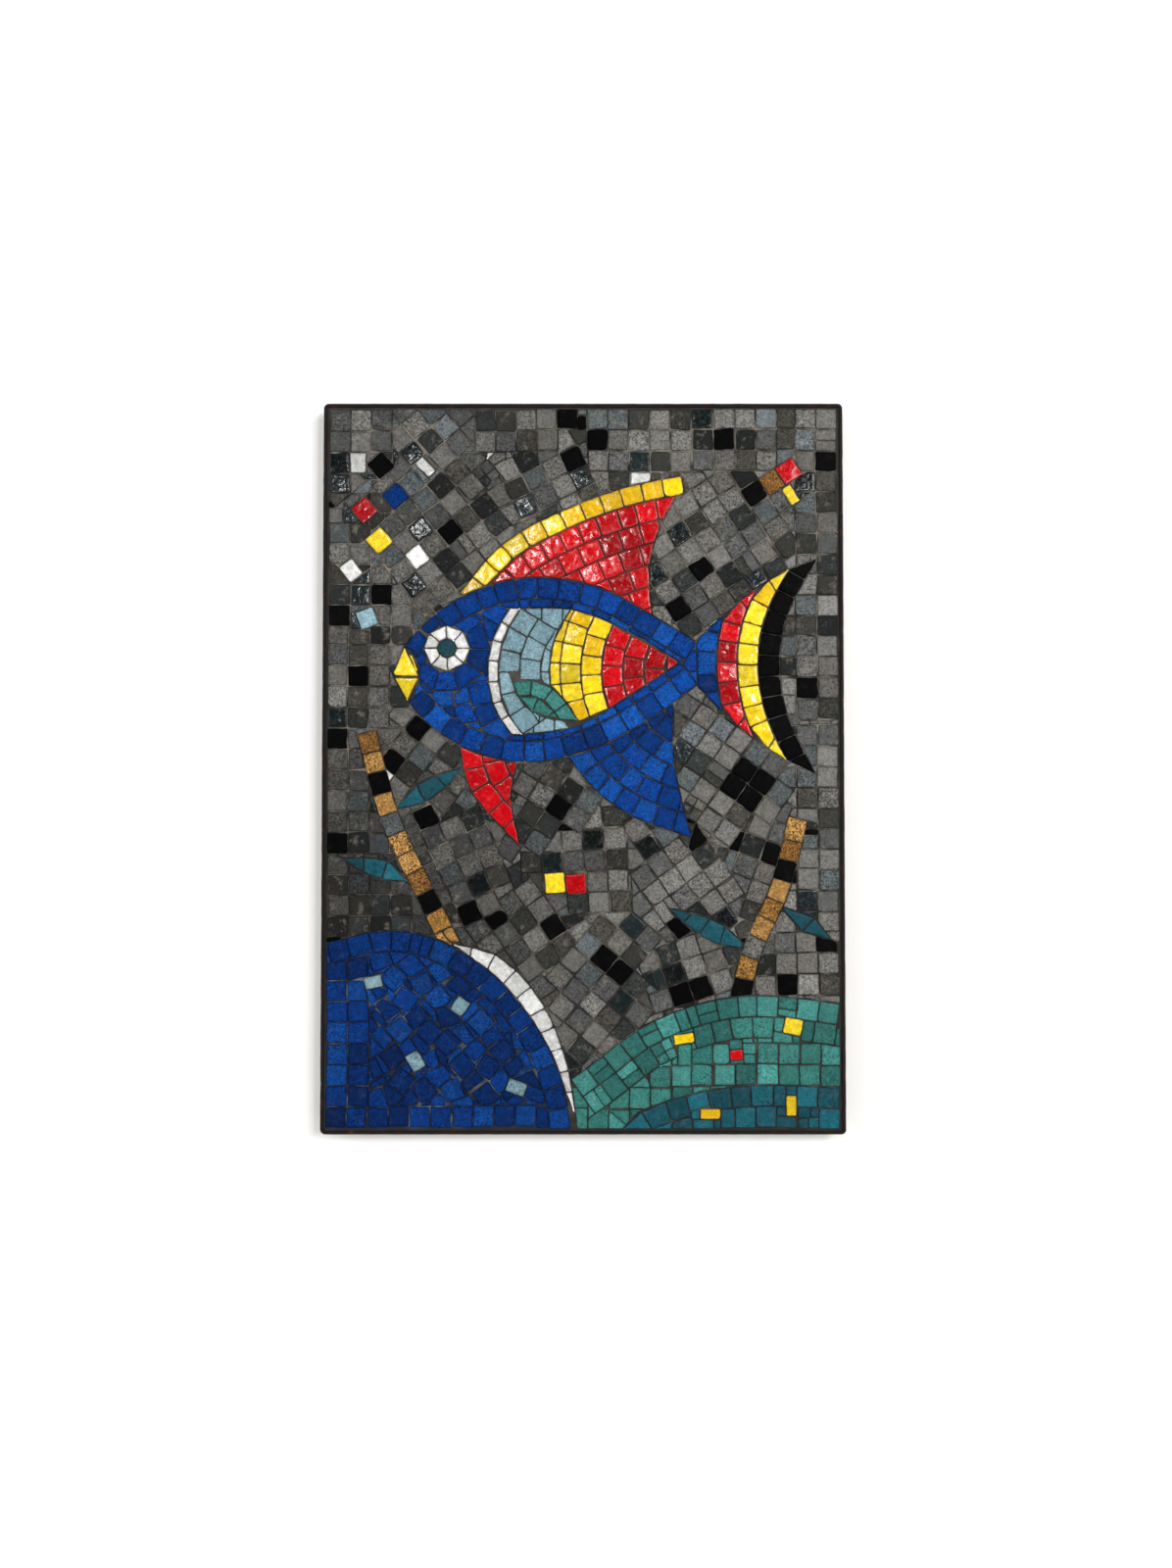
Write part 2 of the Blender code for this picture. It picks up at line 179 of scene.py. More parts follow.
FIRE_POLISHED = {
    "span": 7.0, "rings": [0.75, 0.5], "tilt": 0.02, "wave": (0.3, 7.0), "grain": 0.14, "pits": 0.25,
    "roughness": (0.08, 0.18), "specular": 0.3, "ripple": 0.7, "ripple_mm": 9.0, "twist": 0.5, "tooth": 0.01,
    "grime": 0.7,
}
GLASSES = {
    "slate_grey": kind(
        "slate_grey",
        [
            "#5c5a56", "#4b4c4b", "#646360", "#6e6d69", "#4b5152",
            "#5f6568", "#262a29", "#161918", "#2e2e2b", "#3d3b36",
        ],
        [20, 18, 17, 9, 7, 3, 6, 5, 7, 8],
        smear=0.45,
    ),
    "cobalt_blue": kind(
        "cobalt_blue", ["#01275f", "#012256", "#032d6c", "#073674", "#011e4c"],
        grain=0.5, grain_mm=2.0, roughness=(0.5, 0.75), cloud=0.28, specular=0.06,
        dirt="#070f1f", grime=0.7, smear=0.06,
    ),
    "sea_green": kind(
        "sea_green", ["#2e6b64", "#245b57", "#397a74"], grain=0.35, roughness=(0.35, 0.6), cloud=0.16,
    ),
    "deep_teal": kind("deep_teal", ["#0e4753", "#0b3c47", "#125562"], grain=0.25, roughness=(0.3, 0.5)),
    "pale_blue": kind("pale_blue", ["#708e98", "#7d9ba5", "#66848e"], grain=0.32, roughness=(0.45, 0.65)),
    "signal_red": kind("signal_red", ["#b8000c", "#920008", "#a6000a"], [5, 2, 3], **FIRE_POLISHED),
    "sun_yellow": kind("sun_yellow", ["#e3bf0c", "#d3a70a", "#e9cb22"], **FIRE_POLISHED),
    "ochre": kind("ochre", ["#86602c", "#6d4a21", "#96703c"], grain=1.0, grain_mm=1.7, cloud=0.35),
    "white": kind(
        "white", ["#c6c6c4", "#b8b8b6", "#d0d0ce"],
        **{**FIRE_POLISHED, "wave": (0.15, 7.0), "ripple": 0.25},
    ),
    "black": kind(
        "black", ["#020203", "#040404", "#010102"],
        **{
            **FIRE_POLISHED, "wave": (0.1, 9.0), "ripple": 0.1, "roughness": (0.45, 0.6), "pits": 0.0,
            "specular": 0.03, "dirt": "#060505", "smear": 0.02,
        },
    ),
    "wrinkled": kind(
        "slate_grey", ["#0e1617", "#0a1010", "#172022", "#151c20"],
        **{
            **FIRE_POLISHED, "wave": (0.35, 6.0), "ripple": 0.38, "ripple_mm": 5.0, "twist": 0.7,
            "specular": 0.26, "finish": "wrinkled_dark_glass", "dirt": "#0d0c0b",
        },
    ),
}


# Flat geometry. Lengths under TINY are taken as none.
TINY = 1e-6


def dot(a, b):
    return (a.conjugate() * b).real


def cross(a, b):
    return (a.conjugate() * b).imag


def unit(a):
    return a / abs(a)


def turned(degrees):
    """The direction at an angle, anticlockwise from the right."""
    return cmath.rect(1, math.radians(degrees))


def edges(outline):
    """The sides of an outline, without the ones that have shrunk to a point."""
    return [(a, b) for a, b in zip(outline, outline[1:] + outline[:1]) if abs(b - a) > TINY]


def area(outline):
    return sum(cross(a, b) for a, b in edges(outline)) / 2


def middle(outline):
    return sum(outline) / len(outline)


def square(centre, size, along=1):
    """A square about a centre, with two of its sides along a direction."""
    across = along * 1j
    corners = ((-1, -1), (1, -1), (1, 1), (-1, 1))
    return [centre + along * size / 2 * i + across * size / 2 * j for i, j in corners]


def cut(outline, inward, reach):
    """What is left of a convex outline past a line, where the distance along inward is at least reach."""
    left = []
    for a, b in edges(outline):
        before, after = dot(inward, a) - reach, dot(inward, b) - reach
        if before >= 0:
            left.append(a)
        if before * after < 0:
            left.append(a + (b - a) * before / (before - after))
    return left


def narrowed(outline, distance):
    """A convex outline with every side moved in."""
    for a, b in edges(outline):
        inward = unit(b - a) * 1j
        outline = cut(outline, inward, dot(inward, a) + distance)
    return outline


def clear_of(outline, other, joint, keep=None):
    """The largest part of a convex outline that one straight cut leaves a joint away from another outline."""
    lines = []
    for a, b in edges(other):
        out = unit(b - a) * -1j
        lines.append((out, dot(out, a) + joint))
    for a, b in edges(outline):
        inward = unit(b - a) * 1j
        lines.append((inward, max(dot(inward, p) for p in other) + joint))
    best = []
    for inward, reach in lines:
        if keep is not None and dot(inward, keep) < reach:
            continue
        part = cut(outline, inward, reach)
        if len(part) == len(outline) and min(dot(inward, p) for p in outline) >= reach - TINY:
            return outline
        if area(part) > area(best):
            best = part
    return best


# The fields of the picture, read from the CAD.


class Field:
    """One colour field of the picture, with its outline as smooth runs between corners."""

    def __init__(self, node):
        self.node = node
        self.glass = SLOT_OF[node]
        self.loops = [[complex(v.x, v.z) / MM for v in loop] for loop in front_loops(node)]
        self.loops.sort(key=lambda loop: -area(loop))
        self.outline = self.loops[0]
        self.runs = [run for loop in self.loops for run in smooth_runs(loop)]
        outer_runs = smooth_runs(self.outline)
        self.samples = [part for run in outer_runs for part in quarters(np.array(walk(run, STEP)))]

    def holds(self, points):
        """Which points of an array are inside the outline and outside its holes."""
        inside = np.zeros(points.shape, bool)
        for loop in self.loops:
            for a, b in edges(loop):
                crosses = (a.imag > points.imag) != (b.imag > points.imag)
                run = b.real - a.real
                rise = b.imag - a.imag or TINY
                inside ^= crosses & (points.real < a.real + run * (points.imag - a.imag) / rise)
        return inside

    def trimmed(self, outline, joint=0.1):
        """A tessera with one straight cut for each stretch of the field's outline that crosses it."""
        for samples in self.samples:
            if len(outline) < 3:
                return []
            reach = max(abs(p - middle(outline)) for p in outline)
            inside = np.abs(samples - middle(outline)) < reach
            if not inside.any():
                continue
            for a, b in edges(outline):
                inside &= ((samples - a) * np.conj(b - a)).imag > 0
            where = np.flatnonzero(inside)
            for group in np.split(where, np.flatnonzero(np.diff(where) > 1) + 1):
                if not len(group):
                    continue
                stretch = samples[max(group[0] - 1, 0) : group[-1] + 2]
                inward = unit(complex(stretch[-1] - stretch[0])) * 1j
                reach = float((stretch.real * inward.real + stretch.imag * inward.imag).max()) + joint
                outline = cut(outline, inward, reach)
        return outline


# Vertices nearer than this, in metres, are one. A face whose normal has this much of a direction faces it.
MERGED = 0.01 * MM
FACING = 0.9


def front_loops(node):
    """The boundary loops of a CAD plate's face, each from its leftmost point, so that every run agrees."""
    bm = bmesh.new()
    bm.from_mesh(frame["nodes"][node].data)
    bmesh.ops.remove_doubles(bm, verts=bm.verts, dist=MERGED)
    bm.normal_update()
    front = dict.fromkeys(face for face in bm.faces if face.normal.y < -FACING)
    following = {}
    for face in front:
        for loop in face.loops:
            if not any(other in front for other in loop.edge.link_faces if other is not face):
                following[loop.vert] = loop.link_loop_next.vert
    loops = []
    while following:
        start, after = following.popitem()
        loop = [start.co.copy()]
        while after is not start:
            loop.append(after.co.copy())
            after = following.pop(after)
        first = min(range(len(loop)), key=lambda i: (round(loop[i].x / MM, 2), round(loop[i].z / MM, 2)))
        loops.append(loop[first:] + loop[:first])
    bm.free()
    return loops


def smooth_runs(loop):
    """A closed outline split at its corners. One without a corner is a single run that closes."""
    count = len(loop)
    turns = [cmath.phase((loop[(i + 1) % count] - loop[i]) / (loop[i] - loop[i - 1])) for i in range(count)]
    corners = [i for i, turn in enumerate(turns) if abs(turn) > math.radians(CORNER_ANGLE)]
    if not corners:
        return [loop + loop[:1]]
    twice = loop + loop
    ends = corners[1:] + [corners[0] + count]
    return [twice[start : stop + 1] for start, stop in zip(corners, ends)]


def quarters(line):
    """A line that closes on itself, as four that don't."""
    if abs(line[0] - line[-1]) > TINY:
        return [line]
    marks = [round(i * (len(line) - 1) / 4) for i in range(5)]
    return [line[start : stop + 1] for start, stop in zip(marks, marks[1:])]


def walk(points, step):
    """Points at even steps along a line, from its start to its end."""
    lengths = [abs(b - a) for a, b in zip(points, points[1:])]
    along = np.concatenate([[0], np.cumsum(lengths)])
    count = max(round(along[-1] / step), 1)
    stations = np.linspace(0, along[-1], count + 1)
    line = np.array(points)
    return list(np.interp(stations, along, line.real) + 1j * np.interp(stations, along, line.imag))


# Laying.


class Tessera:
    """One piece of glass: a flat outline of one kind of glass, laid in a field."""

    def __init__(self, outline, glass, field):
        self.outline = outline
        self.glass = glass
        self.field = field
        self.centre = middle(outline)
        self.radius = max(abs(p - self.centre) for p in outline)


class Laying:
    """The tesserae in the order in which they are set: each is cut to clear the ones before it."""

    def __init__(self):
        self.set = []
        columns = int(2 * FIELD.x / CELL)
        rows = int(2 * FIELD.z / CELL)
        xs = (np.arange(columns) + 0.5) * CELL - FIELD.x
        zs = (np.arange(rows) + 0.5) * CELL - FIELD.z
        self.cells = xs[:, None] + 1j * zs[None, :]
        self.free = np.ones(self.cells.shape, bool)

    def window(self, centre, radius):
        """The block of cells round a point."""
        column = int((centre.real - radius + FIELD.x) / CELL)
        row = int((centre.imag - radius + FIELD.z) / CELL)
        span = int(2 * radius / CELL) + 2
        return slice(max(column, 0), max(column + span, 0)), slice(max(row, 0), max(row + span, 0))

    def cut_clear(self, outline, joint, keep=None):
        """What is left of an outline once it is cut clear of every tessera already set."""
        centre = middle(outline)
        radius = max(abs(p - centre) for p in outline)
        for other in self.set:
            if abs(other.centre - centre) < other.radius + radius + joint:
                outline = clear_of(outline, other.outline, joint, keep)
                if len(outline) < 3:
                    return []
        return outline

    def lay(self, outline, glass, field, least, joint=JOINT, keep=None):
        """Sets a tessera if at least this share of a whole one is left once it is cut."""
        if len(outline) >= 3:
            outline = self.cut_clear(outline, joint, keep)
        if len(outline) < 3 or area(outline) < least * TESSERA**2 or thin(outline):
            return
        tessera = Tessera(outline, glass, field)
        self.set.append(tessera)
        block = self.window(tessera.centre, tessera.radius + 2 * CELL)
        covered = np.ones(self.cells[block].shape, bool)
        for a, b in edges(outline):
            inward = unit(b - a) * 1j
            away = self.cells[block] - a
            covered &= away.real * inward.real + away.imag * inward.imag > -joint
        self.free[block] &= ~covered


def thin(outline):
    """Whether an outline is too narrow in some direction to be cut in glass."""
    for a, b in edges(outline):
        inward = unit(b - a) * 1j
        if max(dot(inward, p) for p in outline) - dot(inward, a) < THINNEST_CHIP:
            return True
    return False


def halves(outline):
    """A tessera nipped in two across its longer way, with a joint between the halves."""
    ways = [unit(b - a) for a, b in edges(outline)]
    spans = [max(dot(w, p) for p in outline) - min(dot(w, p) for p in outline) for w in ways]
    way = ways[spans.index(max(spans))]
    off_middle = random.gauss(0, 1)
    line = dot(way, middle(outline)) + off_middle
    return [cut(outline, way, line + SPLIT_JOINT / 2), cut(outline, -way, -line + SPLIT_JOINT / 2)]


def lay_whole_or_split(laying, outline, glass, field, least, split):
    """Sets a tessera whole, or now and then nipped in two or four."""
    parts = [outline]
    joint = JOINT
    if random.random() < split:
        parts = halves(outline)
        joint = SPLIT_JOINT
        if random.random() < SPLIT_AGAIN:
            parts = [half for part in parts for half in halves(part)]
    for part in parts:
        laying.lay(part, glass, field, least / len(parts), joint=joint)


def lay_rows(laying, field, guide, depths, glasses=None, piece=PITCH, split=0.0):
    """Rows of tesserae along a guide line, from the guide inwards, each as deep as its place in depths."""
    line = np.array(walk(guide, STEP))
    closed = abs(line[0] - line[-1]) < TINY
    heading = np.gradient(line)
    padded = np.pad(heading, SMOOTHED // 2, mode="wrap" if closed else "edge")
    heading = np.convolve(padded, np.ones(SMOOTHED) / SMOOTHED, mode="valid")
    inward = 1j * heading / np.abs(heading)
    near = -JOINT / 2
    for depth in depths:
        far = near + depth
        steps = np.abs(np.diff(line + inward * (near + far) / 2))
        along = np.concatenate([[0], np.cumsum(steps)])
        count = max(round(along[-1] / piece), 1)
        marks = []
        for i in range(count + 1):
            moved = random.uniform(-UNEVEN, UNEVEN) * (0 < i < count)
            marks.append(along[-1] * (i + moved) / count)
        stations = [int(i) for i in np.searchsorted(along, marks).clip(0, len(line) - 1)]
        for i, (a, b) in enumerate(zip(stations, stations[1:])):
            ways = ((a, near), (b, near), (b, far), (a, far))
            tile = narrowed([complex(line[k] + inward[k] * off) for k, off in ways], JOINT / 2)
            tile = field.trimmed(tile)
            if len(tile) >= 3 and field.holds(np.array([middle(tile)]))[0]:
                glass = glasses(i) if glasses else field.glass
                lay_whole_or_split(laying, tile, glass, field, LEAST_OF_ROW, split)
        near = far


def waves(place, size, seed):
    """Smooth noise from about -1 to 1 at a place on the panel, over waves of a size in millimetres."""
    return noise.noise(Vector((place.real / size, place.imag / size, seed)))


def drift(centre):
    """How far the courses have wandered from straight at a place."""
    return complex(waves(centre, DRIFT_REACH, 3.1), waves(centre, DRIFT_REACH, 7.7)) * DRIFT


def near_panel(place):
    return abs(place.real) < FIELD.x + TESSERA and abs(place.imag) < FIELD.z + TESSERA


def lay_courses(
    laying, field, origin, degrees, where=None, least=0.3, wander=0.4, turn=1.4, glasses=None, split=0.0
):
    """Straight courses through an origin and at an angle, over a whole field or where a test says."""
    along = turned(degrees)
    span = max(abs(p - origin) for p in field.outline)
    reach = int(span / PITCH) + 1
    steps = range(-reach, reach + 1)
    centres = [origin + along * complex(i, j) * PITCH for i in steps for j in steps]
    centres = [c + drift(c) for c in centres if near_panel(c)]
    centres = [c for c in centres if where is None or where(c)]
    inside = field.holds(np.array(centres))
    for k in sorted(range(len(centres)), key=lambda k: (not inside[k], abs(centres[k] - origin))):
        centre = centres[k] + complex(random.gauss(0, wander), random.gauss(0, wander))
        size = TESSERA + random.gauss(0, CAST_SPREAD)
        tile = square(centre, size, along * turned(random.gauss(0, turn)))
        tile = inside_band(tile) if field.node == GROUND else field.trimmed(tile)
        if len(tile) >= 3 and field.holds(np.array([middle(tile)]))[0]:
            glass = glasses(centre) if glasses else field.glass
            lay_whole_or_split(laying, tile, glass, field, least, split)


def depths_of_gaps(free):
    """How many cells each free cell is from a covered one, as far as half a tessera."""
    depth = np.zeros(free.shape, int)
    left = free.copy()
    for _ in range(round(TESSERA / 2 / CELL)):
        depth += left
        inner = left.copy()
        inner[1:] &= left[:-1]
        inner[:-1] &= left[1:]
        inner[:, 1:] &= left[:, :-1]
        inner[:, :-1] &= left[:, 1:]
        left = inner
    return depth


def fill_gaps(laying, field, glasses=None):
    """Chips in the gaps of a field, the widest gap first, each as large as its neighbours let it be."""
    centre = middle(field.outline)
    block = laying.window(centre, max(abs(p - centre) for p in field.outline))
    cells = laying.cells[block]
    free = laying.free[block]
    depth = depths_of_gaps(free & field.holds(cells))
    order = np.argsort(-depth, axis=None, kind="stable")
    for flat in order[: int((depth > 1).sum())]:
        spot = np.unravel_index(flat, depth.shape)
        if not free[spot]:
            continue
        keep = complex(cells[spot])
        tile = square(keep, LARGEST_CHIP)
        tile = inside_band(tile) if field.node == GROUND else field.trimmed(tile)
        if len(tile) >= 3:
            tile = laying.cut_clear(tile, JOINT, keep)
        if len(tile) >= 3:
            glass = glasses(keep) if glasses else field.glass
            laying.lay(cropped(tile, keep), glass, field, SMALLEST_CHIP / TESSERA**2, keep=keep)


def cropped(outline, keep):
    """A chip cut down about a point to what a whole tessera could give."""
    for way in (1, 1j):
        low = min(dot(way, p) for p in outline)
        high = max(dot(way, p) for p in outline)
        if high - low > TESSERA:
            start = min(max(low, dot(way, keep) - TESSERA / 2), high - TESSERA)
            outline = cut(cut(outline, way, start), -way, -start - TESSERA)
    return outline


def inside_band(outline):
    """A tessera cut straight along the edge of the field."""
    for inward, reach in ((1, -FIELD.x), (-1, -FIELD.x), (1j, -FIELD.z), (-1j, -FIELD.z)):
        outline = cut(outline, inward, reach)
    return outline


# The laying plan.


# The middle of a tessera that stands against the band is this far in from it.
EDGE = TESSERA / 2 + 0.4
TOP_LEFT = complex(-FIELD.x + EDGE, FIELD.z - EDGE)
TOP_RIGHT = complex(FIELD.x - EDGE, FIELD.z - EDGE)
BOTTOM_LEFT = complex(-FIELD.x + EDGE, -FIELD.z + EDGE)
BOTTOM_RIGHT = complex(FIELD.x - EDGE, -FIELD.z + EDGE)
LEFT_SIDE = complex(-FIELD.x + EDGE, 90)
RIGHT_SIDE = complex(FIELD.x - EDGE, -10)
# The ground's zones: the angle of their courses in degrees, where these start, and a place in each zone.
GROUND_ZONES = [
    (0, TOP_LEFT, [-60 + 345j]),
    (0, TOP_RIGHT, [60 + 335j, 160 + 335j, 240 + 330j, 245 + 260j, 245 + 100j]),
    (0, TOP_LEFT, [-245 + 330j]),
    (41, -188 + 271j, [-195 + 262j]),
    (38, -188 + 271j, [-150 + 240j]),
    (41, -188 + 271j, [-150 + 310j]),
    (27, -20 + 280j, [-40 + 290j]),
    (33, 160 + 250j, [140 + 240j]),
    (33, 206 + 296j, [190 + 270j]),
    (0, complex(-FIELD.x + EDGE, 150), [-245 + 190j]),
    (0, LEFT_SIDE, [-235 + 90j, -245 + 20j, -245 - 60j, -245 - 140j]),
    (52, -160 + 10j, [-160 + 10j]),
    (24, -120 - 80j, [-140 - 90j]),
    (58, -40 - 30j, [-60 - 20j]),
    (4, -28 - 116j, [0 - 116j]),
    (50, 20 - 190j, [20 - 190j]),
    (35, -30 - 160j, [-30 - 160j]),
    (35, 100 - 130j, [100 - 120j]),
    (56, 150 - 20j, [150 - 20j]),
    (70, 176 - 60j, [190 - 90j]),
    (0, RIGHT_SIDE, [245 - 10j, 245 - 120j, 245 - 210j]),
    (20, 110 - 200j, [110 - 200j]),
]


# Along a reed, mostly ochre, with a black or a slate piece now and then as the joints in a cane.
REED = ("ochre", "ochre", "black", "ochre", "ochre", "ochre", "slate_grey", "ochre", "black")
# In the ground, each glass up to its mark out of one, and slate for the rest.
GROUND_MARKS = {"black": 0.06, "wrinkled": 0.105, "white": 0.113}


def length(run):
    return sum(abs(b - a) for a, b in zip(run, run[1:]))


def longest_run(field):
    return max(field.runs, key=length)


def reed_glass(i):
    return REED[i % len(REED)]


def ground_glass(place):
    """A mixed grey ground, with some black and wrinkled glass and a little white in it."""
    draw = random.random()
    return next((glass for glass, mark in GROUND_MARKS.items() if draw < mark), "slate_grey")


def lay_picture():
    """The figures first, then the fish's body, the rocks, and the ground round them all."""
    laying = Laying()
    fields = {node: Field(node) for node in SLOT_OF if node not in CONSTRUCTION}
    lay_figures(laying, fields)
    lay_body(laying, fields["fish_body"])
    lay_rocks(laying, fields)
    for node in ("fish_body", "blue_rock", "green_rock", "teal_rock"):
        fill_gaps(laying, fields[node])
    lay_ground(laying, fields[GROUND])
    return laying, fields


def lay_figures(laying, fields):
    """The single squares, the eye, the strips of one row, and the fins and flank bands in full rows."""
    for field in fields.values():
        if area(field.outline) < SINGLE_AREA and len(field.outline) < SINGLE_CORNERS:
            laying.lay(narrowed(field.outline, 0.1), field.glass, field, least=0)
    eye = fields["eye_white"]
    lay_rows(laying, eye, eye.runs[0], [EYE_RING + JOINT], piece=EYE_LENGTH)
    strips = ["gill_row", "tail_edge_row", "tail_yellow_row", "tail_red_row", "dorsal_spine_row"]
    strips.append("white_crest")
    strips += [node for node in fields if node.endswith("_leaf") or node.endswith("_lip")]
    for node in strips:
        lay_rows(laying, fields[node], longest_run(fields[node]), [WIDEST_STRIP])
    for node in ("left_reed", "right_reed"):
        lay_rows(laying, fields[node], longest_run(fields[node]), [WIDEST_STRIP], glasses=reed_glass)
    lay_rows(laying, fields["pectoral_fin"], longest_run(fields["pectoral_fin"]), [PECTORAL_ROW] * 2)
    filled = ("flank_pale", "flank_yellow", "flank_red", "dorsal_fin", "anal_fin", "pelvic_fin", "tail_root")
    for node in filled:
        lay_rows(laying, fields[node], longest_run(fields[node]), [PITCH] * MOST_ROWS)
    for field in fields.values():
        if any(tessera.field is field for tessera in laying.set):
            fill_gaps(laying, field)


def lay_body(laying, body):
    """A row along each long side of the fish's body, then courses behind the eye."""
    for run in sorted(body.runs, key=len, reverse=True):
        if length(run) > SHORTEST_ROW:
            lay_rows(laying, body, run, [PITCH])
    lay_courses(laying, body, EYE + 32, 8, least=0.35)


def lay_ground(laying, ground):
    """The ground in its zones: each place belongs to the zone whose own place is nearest."""
    zones = [(site, degrees, origin) for degrees, origin, sites in GROUND_ZONES for site in sites]
    for site, degrees, origin in zones:
        lay_courses(
            laying, ground, origin, degrees,
            where=lambda c: min(zones, key=lambda zone: abs(zone[0] - c))[0] == site,
            least=0.34, glasses=ground_glass, split=0.03,
        )
    fill_gaps(laying, ground, glasses=ground_glass)


def lay_rocks(laying, fields):
    """A row along each rock's top, then courses, which are loose in the middle of the blue one."""
    blue, green, teal = (fields[node] for node in ("blue_rock", "green_rock", "teal_rock"))
    lay_rows(laying, blue, longest_run(blue), [PITCH], split=0.08)
    two_columns = -FIELD.x + 2.2 * PITCH
    one_course = -FIELD.z + 1.2 * PITCH
    lay_courses(laying, blue, BOTTOM_LEFT, 0, where=lambda c: c.real < two_columns)
    lay_courses(laying, blue, BOTTOM_LEFT, 0, where=lambda c: c.imag < one_course)
    lay_courses(laying, blue, complex(-150, -260), 38, wander=2.6, turn=13, split=0.12)
    lay_rows(laying, teal, longest_run(teal), [PITCH], split=0.15)
    lay_courses(laying, teal, BOTTOM_RIGHT, 0, split=0.1)
    lay_rows(laying, green, longest_run(green), [PITCH, PITCH], split=0.25)
    lay_courses(laying, green, BOTTOM_RIGHT, 0, split=0.15)


random.seed(SEED)
LAYING, FIELDS = lay_picture()


# Solids.


def worn(outline, span):
    """A tessera's outline with its corners rounded off and its sides a little bowed, as in cast glass."""
    points = []
    neighbours = zip(outline[-1:] + outline[:-1], outline, outline[1:] + outline[:1])
    for before, here, after in neighbours:
        radius = random.uniform(*(KNOCKED_RADII if random.random() < KNOCKED_SHARE else CORNER_RADII))
        radius = min(radius, CORNER_REACH * abs(before - here), CORNER_REACH * abs(after - here))
        start = here + unit(before - here) * radius
        end = here + unit(after - here) * radius
        points += [start, (start + 2 * here + end) / 4, end]
        side = after - here
        parts = max(round(abs(side) / span), 1)
        for i in range(1, parts):
            points.append(here + side * i / parts + unit(side) * 1j * random.gauss(BULGE, BOW))
    return points


def depth_of(place, glass, seed, rim):
    """How far a tessera's face stands out at a place, from its waves and its pillowed shape."""
    height, width = glass["wave"]
    return height * waves(place, width, seed) - glass["pillow"] * rim**2


def tone_of(tessera, glass):
    """A tessera's own colour: a tone of its glass, lighter or darker, with the ground's slow change."""
    tone = linear(random.choices(glass["tones"], glass["shares"])[0])
    light = random.gauss(1, glass["spread"]) * FIELD_LIGHT.get(tessera.field.node, 1)
    if tessera.field.node == GROUND and tessera.glass == "slate_grey":
        place = tessera.centre
        dark = DARKEST_SHARE * math.exp(-((abs(place - DARKEST) / DARKEST_REACH) ** 2))
        light *= 0.93 + 0.12 * math.tanh(place.real / 90) - dark
        light *= 1 + 0.2 * waves(place, 70, 4.0)
    return [channel * light for channel in tone]


def make_glass(name):
    """The tesserae of one glass: each a closed solid with a rounded arris and a waved face."""
    glass = GLASSES[name]
    tesserae = [tessera for tessera in LAYING.set if tessera.glass == name]
    bm = bmesh.new()
    number = bm.verts.layers.int.new("number")
    rim = bm.verts.layers.float.new("rim")
    tone = bm.verts.layers.float_color.new("tone")
    shift = bm.verts.layers.float_vector.new("shift")
    backs = []
    for i, tessera in enumerate(tesserae):
        corners = []
        for place in worn(tessera.outline, glass["span"]):
            corner = bm.verts.new((place.real, GLASS_DEPTH - GLASS_FRONT, place.imag))
            corner[number] = i
            corner[rim] = 1
            corners.append(corner)
        backs.append(bm.faces.new(corners))
    faces, corners = extruded(bm, backs)
    bmesh.ops.translate(bm, verts=corners, vec=(0, sum(drop for _, drop, _ in ARRIS) - GLASS_DEPTH, 0))
    bm.normal_update()
    for inset, drop, left in ARRIS:
        bmesh.ops.inset_individual(bm, faces=faces, thickness=inset, depth=drop)
        for face in faces:
            for vert in face.verts:
                vert[rim] = left
    for share in glass["rings"]:
        bmesh.ops.inset_individual(bm, faces=faces, thickness=0.0)
        for face in faces:
            centre = face.calc_center_median()
            for vert in face.verts:
                vert.co = centre + (vert.co - centre) * share
                vert[rim] = RIM_OF_RING
    for hub in bmesh.ops.poke(bm, faces=faces)["verts"]:
        hub[rim] = 0
    settings = []
    for tessera in tesserae:
        tilt = complex(random.gauss(0, glass["tilt"]), random.gauss(0, glass["tilt"]))
        colour = tone_of(tessera, glass)
        rise = random.gauss(0, SETTING)
        seed = random.uniform(0, 99)
        settings.append((colour, tilt, rise, seed, [random.random() for _ in range(3)]))
    for vert in bm.verts:
        colour, tilt, rise, seed, offset = settings[vert[number]]
        vert[tone] = (*colour, 1)
        vert[shift] = offset
        if vert.co.y < GLASS_DEPTH / 2 - GLASS_FRONT:
            place = complex(vert.co.x, vert.co.z)
            away = dot(tilt, place - tesserae[vert[number]].centre)
            out = rise + away + depth_of(place, glass, seed, vert[rim])
            vert.co.y -= min(max(out, LOWEST), HIGHEST)
    piece = solid(name + "_tesserae", bm, GLASS_MATERIALS[name], sharp=52)
    if name == glass["slot"]:
        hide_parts(*(node for node, slot in SLOT_OF.items() if slot == glass["slot"]))


def extruded(bm, faces):
    """Extrudes faces, and gives the faces and the vertices that this makes at the far end."""
    made = bmesh.ops.extrude_face_region(bm, geom=faces)["geom"]
    far_faces = [item for item in made if isinstance(item, bmesh.types.BMFace)]
    return far_faces, [item for item in made if isinstance(item, bmesh.types.BMVert)]


def solid(name, bm, material, sharp):
    """One finished piece of the object from its closed mesh in millimetres, sharp past an angle."""
    bmesh.ops.scale(bm, verts=bm.verts, vec=(MM, MM, MM))
    mesh = bpy.data.meshes.new(name)
    bm.to_mesh(mesh)
    bm.free()
    mesh.polygons.foreach_set("use_smooth", [True] * len(mesh.polygons))
    mesh.set_sharp_from_angle(angle=math.radians(sharp))
    mesh.materials.append(material)
    piece = bpy.data.objects.new(name, mesh)
    bpy.context.collection.objects.link(piece)
    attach(piece, "root")
    return piece


